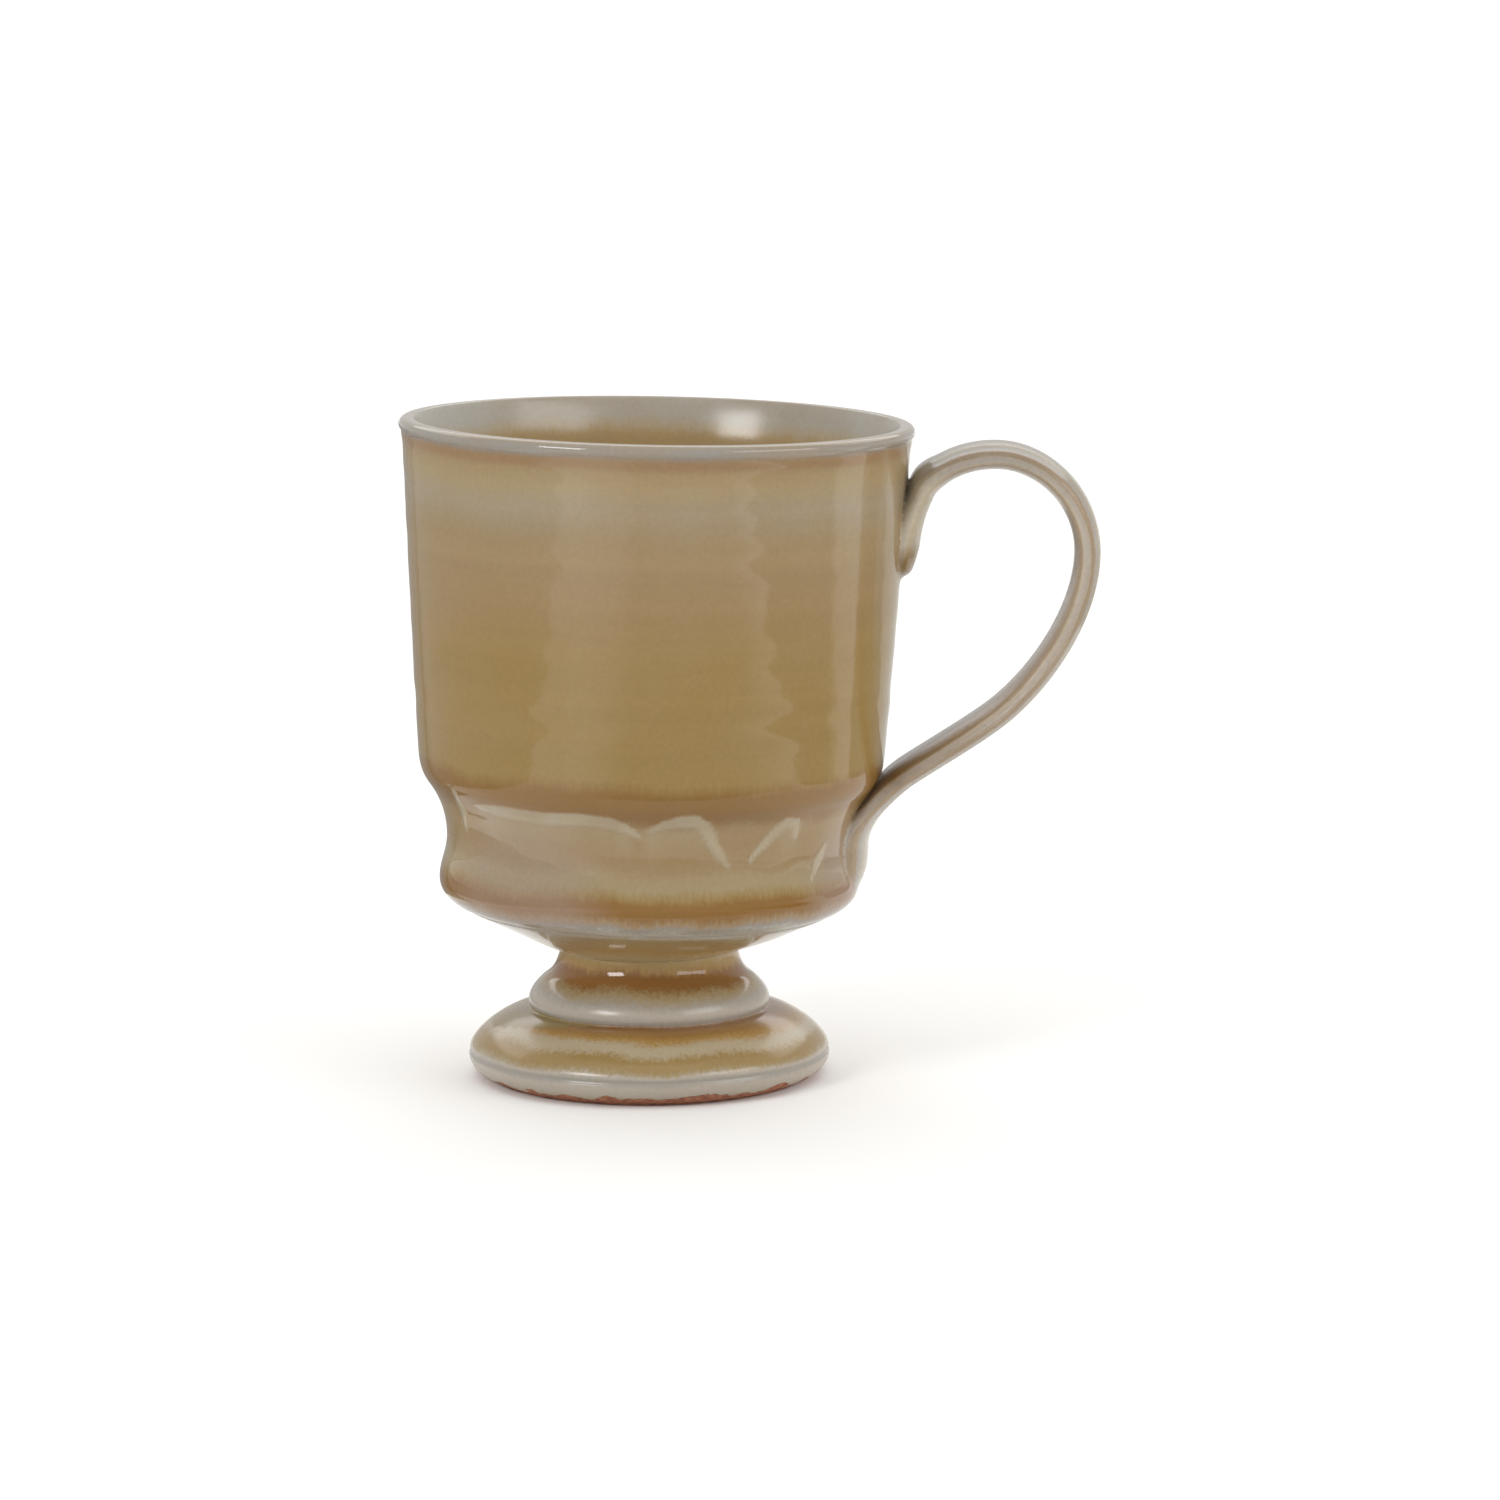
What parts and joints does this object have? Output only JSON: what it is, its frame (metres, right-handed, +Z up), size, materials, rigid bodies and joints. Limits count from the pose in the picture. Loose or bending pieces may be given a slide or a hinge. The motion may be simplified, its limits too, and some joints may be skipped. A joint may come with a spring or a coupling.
{
  "type": "pedestal mug",
  "caption": "Handmade stoneware mug with a straight bowl, low belly, turned pedestal foot and a grooved strap handle at one side.",
  "frame": {"origin": "centre of the foot's standing ring, on the table plane", "axes": "+Z up through the foot, +X from the foot's axis towards the handle"},
  "size_m": [0.1222, 0.09, 0.1168],
  "materials": {
    "glaze": "gloss"
  },
  "bodies": {
    "root": {"mug": "glaze"}
  },
  "joints": []
}
